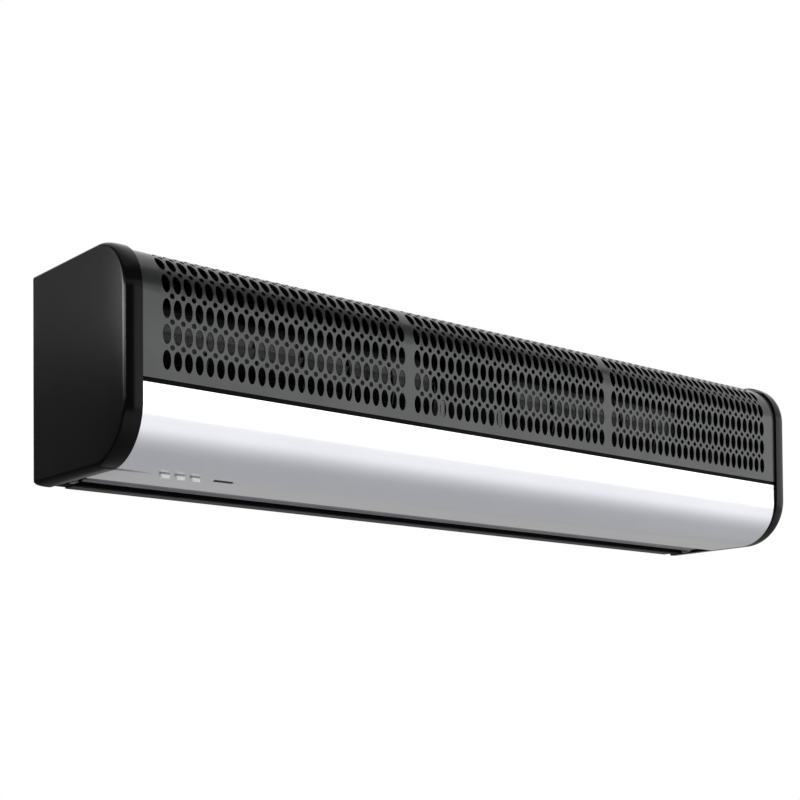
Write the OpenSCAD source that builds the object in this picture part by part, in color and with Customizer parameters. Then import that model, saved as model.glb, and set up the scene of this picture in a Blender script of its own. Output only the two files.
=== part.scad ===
// Wall mounted air curtain: two cross flow wheels on one double shaft motor,
// a perforated intake grille, a bright lower cover and a downward air slot.
// The row frame has its origin at the wall bolts' centre on the wall plane,
// X along the length, Y towards the wall and Z up. The modules below work in
// the corner frame, whose origin is the lower left rear corner of the housing.

/* [Housing] */
// Overall length over both end caps
length = 1040; // [1000:10:1200]
// Depth from the wall to the front of the end caps
depth = 190; // [186:1:198]
// Height of the end caps
height = 222; // [218:1:230]
// Outer radius of the end caps at the top front
top_radius = 55; // [50:1:60]
// Outer radius of the end caps at the bottom front
bottom_radius = 60; // [56:1:64]
// Thickness of the painted and polished sheets
sheet = 1.2; // [1:0.1:1.4]
// Distance of the wall bolts' centre below the top of the end caps
mount_drop = 82; // [78:1:86]

/* [End caps] */
// Width of each end cap along the length
cap_width = 19; // [17:1:22]
// Thickness of the cap's rim, which is also its step above the sheets
cap_wall = 3; // [2.5:0.1:3.5]
// Thickness of the cap's end face
cap_face = 3.5; // [3:0.1:4]
// Rounding of the cap's outer edge
cap_edge = 8; // [6:0.5:9]
// Diameter of the screw bosses inside the cap
boss_diameter = 10; // [8:0.5:11]
// Height of the lower rear boss
boss_low = 48; // [44:1:56]
// Distance of the upper rear boss from the top, and of both from the wall
boss_margin = 24; // [20:1:28]

/* [Intake grille] */
// Height of the dark joint's middle above the end of the bottom curve
seam_rise = 19.7; // [18:0.1:22]
// Width of that joint
seam_gap = 2.4; // [1.5:0.1:3]
// Distance of the first column of ovals from the left end
pattern_margin = 47.5; // [44:0.5:52]
// Columns in each field of holes
columns = 25; // [20:1:25]
// Plain strip between two fields, as a share of the distance between columns
field_gap_share = 1.8; // [1.5:0.1:2.2]
// Width of an oval hole, as a share of the distance between columns
oval_width_share = 0.736; // [0.68:0.004:0.76]
// Height of an oval hole, as a share of the distance between rows
oval_height_share = 0.76; // [0.7:0.01:0.8]
// Distance of the grille's rear edge from the wall
grille_rear = 32.3; // [31:0.1:34]

/* [Lower cover] */
// Distance of the cover's rear edge from the wall
cover_rear = 76; // [74:0.5:80]

/* [Air slot] */
// Diameter of the rolled bead on the slot's front edge
bead_diameter = 7; // [6:0.1:8]
// Distance of the bead's centre from the wall
bead_back = 55.5; // [54:0.5:58]
// Distance of the duct's rear wall from the wall plane at the slot
slot_back = 21.5; // [21.2:0.1:23]
// Depth of the casing's lower rear flange
rear_flange = 18; // [15:0.5:18]

/* [Guide vane] */
// Distance of the vane's pivot from the wall
vane_back = 37; // [36:0.5:38]
// Height of the vane's pivot
vane_height = 17; // [16.5:0.1:18]
// Chord of the vane
vane_chord = 24; // [20:0.5:24]
// Thickness of the vane
vane_thickness = 3; // [2:0.1:4]
// Diameter of the pivot pins
vane_pin = 4; // [3:0.1:4.5]

/* [Cross flow wheels] */
// How much smaller the wheels are than the mean of depth and height
wheel_margin = 96; // [94:1:106]
// Distance of the wheels from the wall
wheel_rear_gap = 43; // [41:0.5:46]
// Height of the motor's shelf above the end of the bottom curve
shelf_rise = 7; // [6:0.5:9]
// Gap between the shelf and the wheels
shelf_gap = 5; // [4:0.5:7]
// Number of blades
blades = 32; // [24:1:36]
// Radial depth of a blade
blade_depth = 12; // [10:0.5:14]
// Thickness of a blade
blade_thickness = 0.9; // [0.8:0.1:1.2]
// Length of wheel between two support discs
disc_spacing = 64; // [60:1:80]

/* [Motor] */
// Distance of the motor's middle from the housing's middle, to the left
motor_offset = 28; // [20:1:50]
// Length left free for the motor between the wheels
motor_space = 131; // [130:1:140]
// Diameter of the motor
motor_diameter = 88; // [84:1:90]
// Length of the motor without its noses
motor_length = 84; // [80:1:86]
// Diameter of the motor shaft and the stub shafts
shaft = 8; // [7:0.1:10]

/* [Control compartment] */
// Length kept at the right end for the control parts
control_length = 156; // [150:1:170]
// Width of a push button
button_width = 10; // [9:0.5:12]
// Depth of a push button
button_depth = 5; // [4:0.5:6]
// How far a push button stands out below the end caps
button_proud = 4.2; // [3:0.1:5]
// Distance between push buttons
button_pitch = 18.2; // [17:0.1:20]
// Distance of the first button's centre from the left end
first_button = 72.8; // [70:0.2:90]
// Distance of the buttons in front of the start of the flat underside
button_advance = 9.5; // [6:0.5:11]
// Travel of a button
button_travel = 1; // [0.8:0.1:1.2]

/* [Wall fixing] */
// Distance of the wall bolts from each end
bolt_inset = 170; // [150:5:190]
// Distance between the wall bolts up the wall
bolt_rise = 60; // [50:1:64]
// Diameter of the wall bolt holes
bolt_hole = 7; // [6:0.1:8]

/* [Hidden] */

// Clearances and small allowances
cut = 1;
seat = 0.2;
end_gap = 0.3;
slice = 0.01;
running = 0.05;
arc_steps = 24;
$fn = 48;

// Corner frame places that several pieces share
step = cap_wall;
plate_out = cap_width;
plate_thickness = 1.5;
sheet_start = cap_width + end_gap;
inner_start = cap_width + plate_thickness + end_gap;
wall_gap = 2;
front_face = depth - step;
top_face = height - step;
shelf_height = bottom_radius + shelf_rise;
wheel_diameter = (depth + height) / 2 - wheel_margin;
wheel_radius = wheel_diameter / 2;
wheel_y = -wheel_rear_gap - wheel_radius;
wheel_z = shelf_height + shelf_gap + wheel_radius;
mount_height = height - mount_drop;
bolt_spacing = length - 2 * bolt_inset;
motor_place = length / 2 - motor_offset;
partition_place = length - control_length;
button_back = depth - bottom_radius + button_advance;

// The frame of the whole part
module row_frame() translate([-length / 2, 0, -mount_height]) children();

// Extrudes an outline drawn in Y and Z along X
module along_x(from, to) translate([from, 0, 0]) rotate([90, 0, 90]) linear_extrude(to - from) children();

// Extrudes an outline drawn in X and Z along Y
module along_y(from, to) translate([0, to, 0]) rotate([90, 0, 0]) linear_extrude(to - from) children();

// A round bar along X, and one along Y
module bar_x(from, to, d) translate([from, 0, 0]) rotate([0, 90, 0]) cylinder(h = to - from, d = d);
module bar_y(from, to, d) translate([0, from, 0]) rotate([-90, 0, 0]) cylinder(h = to - from, d = d);

// A box between two corners
module block(low, high) translate(low) cube(high - low);

// Mirrors a piece drawn at the left end to the right end
module at_right() translate([length, 0, 0]) mirror([1, 0, 0]) children();

function arc(y, z, r, from, to, steps = arc_steps) =
    [for (i = [0:steps]) let (a = from + (to - from) * i / steps) [y + r * cos(a), z + r * sin(a)]];

// Closed outline of the housing, moved in from the cap's outer surface by side,
// from the wall by back, and from the underside by base
function outline(side, base, back) = concat(
    [[-back, base], [-back, height - side]],
    arc(-(depth - top_radius), height - top_radius, top_radius - side, 90, 180),
    arc(-(depth - bottom_radius), base + bottom_radius - side, bottom_radius - side, 180, 270));

// Outline of a folded sheet of even thickness on the left of a path
function unit(v) = v / norm(v);
function left_of(a, b) = let (d = unit(b - a)) [-d[1], d[0]];
function corner_shift(p, i) =
    let (
        last = len(p) - 1,
        n1 = left_of(p[max(i - 1, 0)], p[max(i - 1, 0) + 1]),
        n2 = left_of(p[min(i, last - 1)], p[min(i, last - 1) + 1])
    )
    (n1 + n2) / (1 + n1 * n2);
function ribbon(p, t) = concat(p, [for (i = [len(p) - 1:-1:0]) p[i] + t * corner_shift(p, i)]);

// End caps: a moulded shell with a rounded outer edge and four screw bosses
cap_boss_places = [
    [-boss_margin, boss_low], [-boss_margin, height - boss_margin],
    [-(depth - top_radius), height - top_radius],
    [-(depth - bottom_radius), bottom_radius - boss_diameter]
];
screw_diameter = 3;
screw_length = 10;
screw_head = 6;
head_height = 2;
cap_edge_steps = 5;

module end_cap() difference() {
    union() {
        hull() for (i = [0:cap_edge_steps])
            let (a = 90 * i / cap_edge_steps, inset = cap_edge * (1 - sin(a)), x = cap_edge * (1 - cos(a)))
            along_x(x, x + slice) polygon(outline(inset, inset, 0));
        along_x(cap_edge, cap_width) polygon(outline(0, 0, 0));
    }
    difference() {
        along_x(cap_face, cap_width + cut) polygon(outline(cap_wall, cap_wall, cap_wall / 2));
        for (p = cap_boss_places) translate([0, p[0], p[1]]) bar_x(0, cap_width, boss_diameter);
    }
    for (p = cap_boss_places) translate([0, p[0], p[1]])
        bar_x(cap_width - screw_length, cap_width + cut, screw_diameter);
}
module left_end_cap() color("#18181a") end_cap();
module right_end_cap() color("#18181a") at_right() end_cap();

// Side plates: flat steel ends inside the sheets, with a rear flange for the casing screws
flange_width = 14;
plate_side = step + sheet + seat;
plate_back = wall_gap + sheet + seat;
casing_screw_heights = [boss_low - boss_margin / 2, height / 2, height - 2 * boss_margin];
casing_screw_in = flange_width * 2 / 3;
cup_neck = 30;

module side_plate(bearing) difference() {
    union() {
        along_x(plate_out, plate_out + plate_thickness)
            polygon(outline(plate_side, sheet + seat, plate_back));
        block([plate_out, -plate_back - plate_thickness, casing_screw_heights[0] - flange_width / 2],
            [plate_out + flange_width, -plate_back, casing_screw_heights[2] + flange_width / 2]);
    }
    for (p = cap_boss_places) translate([0, p[0], p[1]])
        bar_x(plate_out - cut, plate_out + plate_thickness + cut, screw_diameter + seat);
    for (z = casing_screw_heights) translate([plate_out + casing_screw_in, 0, z])
        bar_y(-plate_back - plate_thickness - cut, 0, screw_diameter);
    if (bearing) translate([0, wheel_y, wheel_z])
        bar_x(plate_out - cut, plate_out + plate_thickness + cut, cup_neck);
}
module left_side_plate() color("#8f9398") side_plate(true);
module right_side_plate() color("#8f9398") at_right() side_plate(false);

module cap_screw() {
    bar_x(plate_out - screw_length + cut, plate_out + plate_thickness + head_height / 2, screw_diameter);
    bar_x(plate_out + plate_thickness, plate_out + plate_thickness + head_height, screw_head);
}
module cap_screws() color("#c9ccd0") for (p = cap_boss_places) {
    translate([0, p[0], p[1]]) cap_screw();
    at_right() translate([0, p[0], p[1]]) cap_screw();
}

// Back casing: one folded sheet that closes the top rear, the back and the rear of the slot
notch_width = 16;
notch_height = 5;
access_hole = 24;
gland_neck = 16;
gland_inset = 96;
gland_place = length - gland_inset;
gland_height = height - 2 * boss_margin + cup_neck / 2;
hook_width = 30;
hook_inset = 100;
hook_place = bolt_spacing / 2 - hook_inset;
hook_rise = 14;
hook_height = mount_height + hook_rise;
hook_lip = 10;
hook_slot = 15;
hook_thickness = 2.5;

module back_casing() color("#3c3d40") difference() {
    along_x(sheet_start, length - sheet_start) polygon(ribbon([
        [-(wall_gap + rear_flange), 0], [-wall_gap, 0],
        [-wall_gap, top_face], [-(grille_rear - end_gap), top_face]
    ], sheet));
    for (side = [sheet_start - cut, length - sheet_start - notch_width])
        block([side, -(wall_gap + rear_flange) - cut, -cut], [side + notch_width + cut, 0, notch_height]);
    for (s = [-1, 1]) {
        for (r = [-1, 1]) translate([length / 2 + s * bolt_spacing / 2, 0, mount_height + r * bolt_rise / 2])
            bar_y(-depth / 2, 0, access_hole);
        translate([length / 2 + s * hook_place, 0, hook_height]) block(
            [-hook_width / 2 - seat, -wall_gap - sheet - cut, -hook_slot],
            [hook_width / 2 + seat, 0, hook_thickness]);
    }
    translate([gland_place, 0, gland_height]) bar_y(-depth / 2, 0, gland_neck);
    for (z = casing_screw_heights)
        for (x = [plate_out + casing_screw_in, length - plate_out - casing_screw_in])
            translate([x, 0, z]) bar_y(-depth / 2, 0, screw_diameter + seat);
}

casing_screw_length = 9;
module casing_screws() color("#c9ccd0")
    for (z = casing_screw_heights)
        for (x = [plate_out + casing_screw_in, length - plate_out - casing_screw_in])
            translate([x, 0, z]) {
                bar_y(-wall_gap, -seat, screw_head);
                bar_y(-casing_screw_length, -wall_gap / 2, screw_diameter);
            }

// Wall plate: it stays on the wall, and the casing hangs on its two hooks
plate_margin = 20;
module wall_plate() color("#a9adb2") difference() {
    union() {
        translate([length / 2, 0, mount_height]) block(
            [-bolt_spacing / 2 - plate_margin, -wall_gap, -bolt_rise / 2 - plate_margin],
            [bolt_spacing / 2 + plate_margin, 0, bolt_rise / 2 + plate_margin]);
        for (s = [-1, 1]) let (
            x0 = length / 2 + s * hook_place - hook_width / 2,
            x1 = x0 + hook_width,
            tip = wall_gap + sheet + cut + sheet
        ) {
            block([x0, -tip, hook_height], [x1, -wall_gap / 2, hook_height + hook_thickness]);
            block([x0, -tip, hook_height], [x1, -tip + sheet, hook_height + hook_lip]);
        }
    }
    for (s = [-1, 1]) for (r = [-1, 1])
        translate([length / 2 + s * bolt_spacing / 2, 0, mount_height + r * bolt_rise / 2])
            bar_y(-wall_gap - cut, cut, bolt_hole);
}

// Cable gland: a rubber bush in the back casing, with a bore for the supply lead
gland_bore = 8;
gland_flange = 22;
gland_depth = 12;
module cable_gland() color("#202022") translate([gland_place, 0, gland_height]) difference() {
    union() {
        bar_y(-wall_gap, -end_gap, gland_flange);
        bar_y(-gland_depth, -end_gap, gland_neck);
        bar_y(-wall_gap - sheet - wall_gap, -wall_gap - sheet, gland_flange);
    }
    bar_y(-gland_depth - cut, cut, gland_bore);
}

// Intake grille: one sheet over the front, the corner and the top, drawn as three
// pieces. The front and the corner are perforated and meet between two rows of
// holes, and the top is plain. Each perforated zone of the sheet has its rows at a
// share of the zone's length, measured along the sheet.
fields = 3;
column_pitch = (length - 2 * pattern_margin) / (fields * (columns - 1) + (fields - 1) * field_gap_share);
field_pitch = (columns - 1 + field_gap_share) * column_pitch;
column_places = [for (f = [0:fields - 1]) for (i = [0:columns - 1])
    pattern_margin + f * field_pitch + i * column_pitch];
seam_height = bottom_radius + seam_rise;
grille_bottom = seam_height + seam_gap / 2;
corner_y = -(depth - top_radius);
corner_z = height - top_radius;
corner_outer = top_radius - step;
zone_lengths = [corner_z - grille_bottom, corner_outer * PI / 2];
first_row_shares = [0.257, 0.146];
row_pitch_shares = [0.294, 0.31];
zone_rows = 3;
function zone_pitch(zone) = zone_lengths[zone] * row_pitch_shares[zone];
function zone_places(zone) =
    [for (i = [0:zone_rows - 1]) zone_lengths[zone] * first_row_shares[zone] + i * zone_pitch(zone)];
front_last = grille_bottom + zone_places(0)[zone_rows - 1];
front_top = (front_last + oval_height_share * zone_pitch(0) / 2 + corner_z) / 2;

module oval(zone) {
    wide = column_pitch * oval_width_share;
    high = zone_pitch(zone) * oval_height_share;
    union() {
        square([wide, high - wide], center = true);
        for (s = [-1, 1]) translate([0, s * (high - wide) / 2]) circle(d = wide);
    }
}

module grille_front() color("#5c5d5f") along_y(-front_face, -front_face + sheet) difference() {
    translate([sheet_start, grille_bottom]) square([length - 2 * sheet_start, front_top - grille_bottom]);
    for (x = column_places) for (z = zone_places(0)) translate([x, grille_bottom + z]) oval(0);
}

// Angle on the corner arc at a length along it
function corner_angle(s) = s / corner_outer * 180 / PI;

module grille_corner() color("#5c5d5f") difference() {
    along_x(sheet_start, length - sheet_start) {
        translate([-front_face, front_top]) square([sheet, corner_z - front_top]);
        translate([corner_y, corner_z]) intersection() {
            difference() {
                circle(r = corner_outer, $fn = 96);
                circle(r = corner_outer - sheet, $fn = 96);
            }
            translate([-corner_outer, 0]) square(corner_outer);
        }
    }
    for (x = column_places) for (s = zone_places(1))
        translate([x, corner_y, corner_z]) rotate([90 - corner_angle(s), 0, 0])
            translate([0, 0, corner_outer - sheet - cut]) linear_extrude(sheet + 2 * cut) oval(1);
}

module grille_top() color("#5c5d5f")
    block([sheet_start, corner_y, top_face - sheet], [length - sheet_start, -grille_rear, top_face]);

// Front cover: the polished sheet below the joint, with windows for the controls
cover_top = seam_height - seam_gap / 2;
cover_centre_y = -(depth - bottom_radius);
cover_radius = bottom_radius - step;
control_gap = 0.3;
window_width = 23;
window_depth = 4;
window_offset = 36.3;
window_shift = 3;
window_place = first_button + 2 * button_pitch + window_offset;
window_back = button_back - window_shift;

// Height of the cover's inner face at a distance from the wall
function cover_inside(back) = cover_radius
    - sqrt(pow(cover_radius - sheet, 2) - pow(max(0, back + cover_centre_y), 2));
control_seat = cover_inside(button_back + button_depth / 2 + cut) + seat;

module cover_openings(grow) {
    for (i = [0:2]) translate([first_button + i * button_pitch, -button_back])
        square([button_width + 2 * grow, button_depth + 2 * grow], center = true);
    translate([window_place, -window_back])
        square([window_width + 2 * grow, window_depth + 2 * grow], center = true);
}

module front_cover() color("#c9cbd1") difference() {
    along_x(sheet_start, length - sheet_start) polygon(ribbon(concat(
        [[-cover_rear, sheet]],
        arc(cover_centre_y, cover_radius, cover_radius - sheet, 270, 180),
        [[-front_face + sheet, cover_top]]
    ), sheet));
    translate([0, 0, -cut]) linear_extrude(control_seat + cut) cover_openings(control_gap);
}

// Duct front wall: it closes the front of the air duct, carries the motor,
// and stands up behind the dark joint as the seat of the cover and the grille
tongue_lead = 10;
tongue_y = wheel_y + tongue_lead;
bead_z = bead_diameter / 2 - end_gap;
web_top = sheet + sheet;
flange_rise = 10;
flange_top = seam_height + flange_rise;
seat_face = -front_face + sheet;

module duct_front_wall() color("#33353a") along_x(inner_start, length - inner_start) polygon(ribbon([
    [-cover_rear, web_top], [-bead_back - bead_diameter / 2 - end_gap, web_top],
    [tongue_y, shelf_height - sheet],
    [seat_face + sheet, shelf_height - sheet], [seat_face + sheet, flange_top]
], sheet));

// Slot bead: the rolled front edge of the air slot, on a web that rests on the cover
bead_start = 26;
bead_stop = 42;
web_seat = 6;
web_front = cover_rear + web_seat;
module slot_bead() color("#8b8d93") along_x(bead_start, length - bead_stop) union() {
    translate([-bead_back, bead_z]) circle(d = bead_diameter);
    translate([-web_front, sheet]) square([web_front - bead_back, sheet]);
}

// Scroll sheet: a spiral behind the wheels that widens down to the slot
scroll_gap = 7;
scroll_widening = 30.4;
scroll_first_angle = 40;
scroll_last_angle = -30;
scroll_steps = 20;
scroll_foot = 4;
scroll_tab = 8;
function scroll_point(share) =
    let (
        a = scroll_first_angle + (scroll_last_angle - scroll_first_angle) * share,
        r = wheel_radius + scroll_gap + scroll_widening * share
    )
    [wheel_y + r * cos(a), wheel_z + r * sin(a)];
scroll_path = concat(
    [[-scroll_tab, top_face - sheet], [-(grille_rear - sheet), top_face - sheet]],
    [for (i = [0:scroll_steps]) scroll_point(i / scroll_steps)],
    [[-slot_back, sheet], [-scroll_foot, sheet]]);

module scroll_sheet() color("#33353a")
    along_x(inner_start, length - inner_start) polygon(ribbon(scroll_path, sheet));

// Partition plate: it closes the air path before the control compartment
partition_disc = 2 * (wheel_radius + scroll_gap) - 2 * end_gap;
partition_front = -front_face + sheet + sheet + seat;
lead_hole = 8;
lead_setback = 12;
lead_y = partition_front + lead_setback;
lead_diameter = 6;
lead_z = shelf_height + lead_diameter / 2 + end_gap;

module partition_plate() color("#8f9398") difference() {
    along_x(partition_place, partition_place + plate_thickness) union() {
        translate([wheel_y, wheel_z]) circle(d = partition_disc);
        translate([partition_front, shelf_height])
            square([wheel_y - partition_front, corner_z - shelf_height]);
    }
    translate([partition_place, wheel_y, wheel_z]) bar_x(-cut, plate_thickness + cut, cup_neck);
    translate([partition_place, lead_y, lead_z]) bar_x(-cut, plate_thickness + cut, lead_hole);
    translate([partition_place, 0, 0])
        block([-cut, wheel_y - wheel_diameter, 0], [plate_thickness + cut, 0, shelf_height]);
}

// Guide vane: a long blade that turns about two pins at the slot's ends
bracket_start = 24;
bracket_width = 5;
bracket_depth = 12;
bracket_foot = 0.6;
vane_gap = 0.5;
vane_start = bracket_start + bracket_width + vane_gap;
vane_end = 32;
vane_stop = length - vane_end;
vane_bracket_right_start = vane_stop + vane_gap;
pin_depth = 12;
vane_hub = 7;

module air_vane() color("#151517") difference() {
    along_x(vane_start, vane_stop) translate([-vane_back, vane_height]) union() {
        square([vane_thickness, vane_chord - vane_thickness], center = true);
        for (s = [-1, 1]) translate([0, s * (vane_chord - vane_thickness) / 2]) circle(d = vane_thickness);
        circle(d = vane_hub);
    }
    for (x = [vane_start - cut, vane_stop - pin_depth])
        translate([0, -vane_back, vane_height]) bar_x(x, x + pin_depth + cut, vane_pin);
}

module vane_pins() color("#d4d6da") translate([0, -vane_back, vane_height]) {
    bar_x(bracket_start - vane_gap, vane_start + pin_depth - cut, vane_pin);
    bar_x(vane_stop - pin_depth + cut, vane_bracket_right_start + bracket_width + vane_gap, vane_pin);
}

// A bracket hangs from the duct's rear wall foot and side, and holds one pin
module vane_bracket(x, end) difference() {
    union() {
        block([x, -vane_back - bracket_depth / 2, bracket_foot],
            [x + bracket_width, -vane_back + bracket_depth / 2, vane_height + bracket_depth / 2]);
        block([min(x, end), -vane_back - bracket_depth / 2, vane_height + bracket_depth / 2 - sheet],
            [max(x + bracket_width, end), -vane_back + bracket_depth / 2, vane_height + bracket_depth / 2]);
    }
    translate([0, -vane_back, vane_height]) bar_x(x - cut, x + bracket_width + cut, vane_pin + 2 * running);
}
module vane_bracket_left() color("#c6c8cc") vane_bracket(bracket_start, plate_out + plate_thickness);
module vane_bracket_right() color("#c6c8cc")
    vane_bracket(vane_bracket_right_start, length - plate_out - plate_thickness);

// Cross flow wheels: curved blades through a row of support discs
disc_thickness = 1.2;
disc_rim = 2;
hub_diameter = 30;
blade_steps = 3;
blade_sweep = 16;
wheel_clearance = 11;
left_bearing_room = 34;
left_wheel_start = plate_out + plate_thickness + left_bearing_room;
left_wheel_end = motor_place - motor_space / 2;
right_wheel_start = motor_place + motor_space / 2;
right_wheel_end = partition_place - wheel_clearance;
blade_inner = wheel_radius - disc_rim / 2 - blade_depth;
function blade_point(t) =
    let (r = blade_inner + blade_depth * t, a = -blade_sweep * t * t) [r * cos(a), r * sin(a)];
blade_path = [for (i = [0:blade_steps]) blade_point(i / blade_steps)];

module wheel(from, to) {
    spans = round((to - from) / disc_spacing);
    translate([0, wheel_y, wheel_z]) union() {
        along_x(from, to) for (i = [0:blades - 1])
            rotate(360 * i / blades) polygon(ribbon(blade_path, blade_thickness));
        for (k = [0:spans]) along_x(from + (to - from - disc_thickness) * k / spans,
            from + (to - from - disc_thickness) * k / spans + disc_thickness) difference() {
                circle(r = wheel_radius, $fn = 96);
                if (k == 0 || k == spans) circle(d = hub_diameter);
                else circle(r = blade_inner - disc_rim);
            }
    }
}
module wheel_left() color("#9da1a6") wheel(left_wheel_start, left_wheel_end);
module wheel_right() color("#9da1a6") wheel(right_wheel_start, right_wheel_end);

// Hubs, stub shafts and the motor shaft turn with the wheels
hub_length = 14;
hub_flange = 40;
stub_reach = 13.5;
bearing_length = 7;
bearing_outer = 22;
shaft_reach = 12;

module hub(x, way) translate([x, wheel_y, wheel_z]) difference() {
    mirror([way > 0 ? 0 : 1, 0, 0]) union() {
        bar_x(0, hub_length, hub_diameter);
        bar_x(disc_thickness, disc_thickness + sheet, hub_flange);
    }
    bar_x(-hub_length - cut, hub_length + cut, shaft);
    translate([way * hub_length * 2 / 3, 0, 0]) cylinder(h = hub_diameter / 2 + cut, d = screw_diameter);
}
module shaft_hubs() color("#2b2c2f") {
    hub(left_wheel_start, 1);
    hub(left_wheel_end, -1);
    hub(right_wheel_start, 1);
    hub(right_wheel_end, -1);
}
module hub_screw(x, way) translate([x + way * hub_length * 2 / 3, wheel_y, wheel_z + shaft / 2])
    cylinder(h = hub_diameter / 2 - shaft / 2, d = screw_diameter);
module hub_screws() color("#c9ccd0") {
    hub_screw(left_wheel_start, 1);
    hub_screw(left_wheel_end, -1);
    hub_screw(right_wheel_start, 1);
    hub_screw(right_wheel_end, -1);
}
module stub_shafts() color("#c4c7cb") translate([0, wheel_y, wheel_z]) {
    bar_x(bearing_left_start + running, left_wheel_start + hub_length, shaft);
    bar_x(right_wheel_end - hub_length, right_wheel_end + stub_reach, shaft);
}
module motor_shaft() color("#c4c7cb") translate([0, wheel_y, wheel_z])
    bar_x(left_wheel_end - shaft_reach, right_wheel_start + shaft_reach, shaft);

// Bearings in rubber cups, one in the left side plate and one in the partition plate
cup_collar = 34;
cup_collar_width = 3;
bearing_left_start = plate_out - cup_collar_width + sheet;
module bearing(x) translate([x, wheel_y, wheel_z]) difference() {
    bar_x(0, bearing_length, bearing_outer);
    bar_x(-cut, bearing_length + cut, shaft + 2 * running);
}
module bearings() color("#a88b52") {
    bearing(bearing_left_start);
    bearing(partition_place + plate_thickness + cup_collar_width - sheet - bearing_length);
}
module bearing_cup(x) translate([x, wheel_y, wheel_z]) difference() {
    union() {
        bar_x(-cup_collar_width, 0, cup_collar);
        bar_x(0, plate_thickness, cup_neck);
        bar_x(plate_thickness, plate_thickness + cup_collar_width, cup_collar);
    }
    bar_x(-cup_collar_width - cut, plate_thickness + cup_collar_width + cut, bearing_outer);
}
module bearing_cups() color("#202022") {
    bearing_cup(plate_out);
    bearing_cup(partition_place);
}

// Motor: a shell with two noses, the stator and windings in it, and the core on the shaft
motor_wall = 2.5;
nose_diameter = 26;
nose_length = 8;
core_gap = 0.5;
stator_inner = 50;
stator_length = 44;
winding_length = 9;
motor_half = motor_length / 2;

// Puts a piece drawn about the motor's middle at both of its ends
module motor_ends() translate([motor_place, wheel_y, wheel_z]) for (s = [0, 1]) mirror([s, 0, 0]) children();

module motor_shell() color("#b9bcc0") translate([motor_place, wheel_y, wheel_z]) difference() {
    union() {
        bar_x(-motor_half, motor_half, motor_diameter);
        bar_x(-motor_half - nose_length, motor_half + nose_length, nose_diameter);
    }
    bar_x(-motor_half + motor_wall, motor_half - motor_wall, motor_diameter - 2 * motor_wall);
    bar_x(-motor_half - nose_length - cut, motor_half + nose_length + cut, shaft + 2 * running);
}
module motor_stator() color("#6d7075") translate([motor_place, wheel_y, wheel_z]) difference() {
    bar_x(-stator_length / 2, stator_length / 2, motor_diameter - 2 * motor_wall);
    bar_x(-stator_length / 2 - cut, stator_length / 2 + cut, stator_inner);
}
module motor_windings() color("#a4562c") motor_ends() difference() {
    bar_x(stator_length / 2, stator_length / 2 + winding_length, motor_diameter - 4 * motor_wall);
    bar_x(stator_length / 2 - cut, stator_length / 2 + winding_length + cut, stator_inner + 2 * motor_wall);
}
module motor_core() color("#85888d") translate([motor_place, wheel_y, wheel_z]) difference() {
    bar_x(-stator_length / 2, stator_length / 2, stator_inner - 2 * core_gap);
    bar_x(-stator_length / 2 - cut, stator_length / 2 + cut, shaft);
}

// The motor's noses sit in rubber rings between the bracket's arms and the clamps
ring_width = 6;
ring_thickness = 6;
ring_start = motor_half + (nose_length - ring_width) / 2;
ring_outer = nose_diameter + 2 * ring_thickness;
bracket_plate = 2;
bracket_half = 26;
bracket_reach = 45;
foot_length = 16;
foot_inset = 6;
clamp_thickness = 2;
motor_screw_in = ring_start + ring_width + foot_inset;

module motor_rings() color("#202022") motor_ends() difference() {
    bar_x(ring_start, ring_start + ring_width, ring_outer);
    bar_x(ring_start - cut, ring_start + ring_width + cut, nose_diameter);
}
module motor_bracket() color("#a3a7ab") translate([motor_place, wheel_y, 0]) difference() {
    union() {
        block([-ring_start - ring_width - foot_length, -bracket_reach, shelf_height],
            [ring_start + ring_width + foot_length, 0, shelf_height + bracket_plate]);
        for (s = [0, 1]) mirror([s, 0, 0])
            block([ring_start, -bracket_reach, shelf_height],
                [ring_start + ring_width, bracket_half, wheel_z]);
    }
    translate([0, 0, wheel_z]) bar_x(-motor_length, motor_length, ring_outer);
    for (s = [-1, 1]) for (r = [1 / 4, 3 / 4])
        translate([s * motor_screw_in, -bracket_half * r, shelf_height - cut])
            cylinder(h = bracket_plate + 2 * cut, d = screw_diameter + seat);
}
module motor_clamps() color("#a3a7ab") motor_ends()
    along_x(ring_start, ring_start + ring_width) difference() {
    union() {
        circle(d = ring_outer + 2 * clamp_thickness);
        translate([-bracket_half, 0]) square([2 * bracket_half, clamp_thickness]);
    }
    circle(d = ring_outer);
    translate([-ring_outer, -2 * ring_outer]) square([2 * ring_outer, 2 * ring_outer]);
}
module motor_screws() color("#c9ccd0") for (s = [-1, 1]) for (r = [1 / 4, 3 / 4])
    translate([motor_place + s * motor_screw_in, wheel_y - bracket_half * r, shelf_height]) {
        cylinder(h = bracket_plate + head_height / 2, d = screw_diameter);
        translate([0, 0, bracket_plate]) cylinder(h = head_height, d = screw_head);
    }

// Motor lead: it lies on the shelf from the motor to the control tray
lead_rise = motor_place + motor_half - 2 * lead_diameter;
lead_reach = 12;
lead_end = partition_place + plate_thickness + lead_reach;
lead_top_shares = [0.455, 0.23];
lead_top = [
    lead_rise, wheel_y - motor_diameter * lead_top_shares[0], wheel_z - motor_diameter * lead_top_shares[1]
];
module lead_piece(a, b) translate(a) rotate([0, acos(unit(b - a)[2]), atan2((b - a)[1], (b - a)[0])])
    cylinder(h = norm(b - a), d = lead_diameter, $fn = 16);
module motor_lead() color("#1c1c1e") union() {
    lead_piece([lead_rise, lead_y, lead_z], [lead_end, lead_y, lead_z]);
    translate([lead_rise, lead_y, lead_z]) sphere(d = lead_diameter, $fn = 16);
    lead_piece([lead_rise, lead_y, lead_z], lead_top);
}

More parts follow.
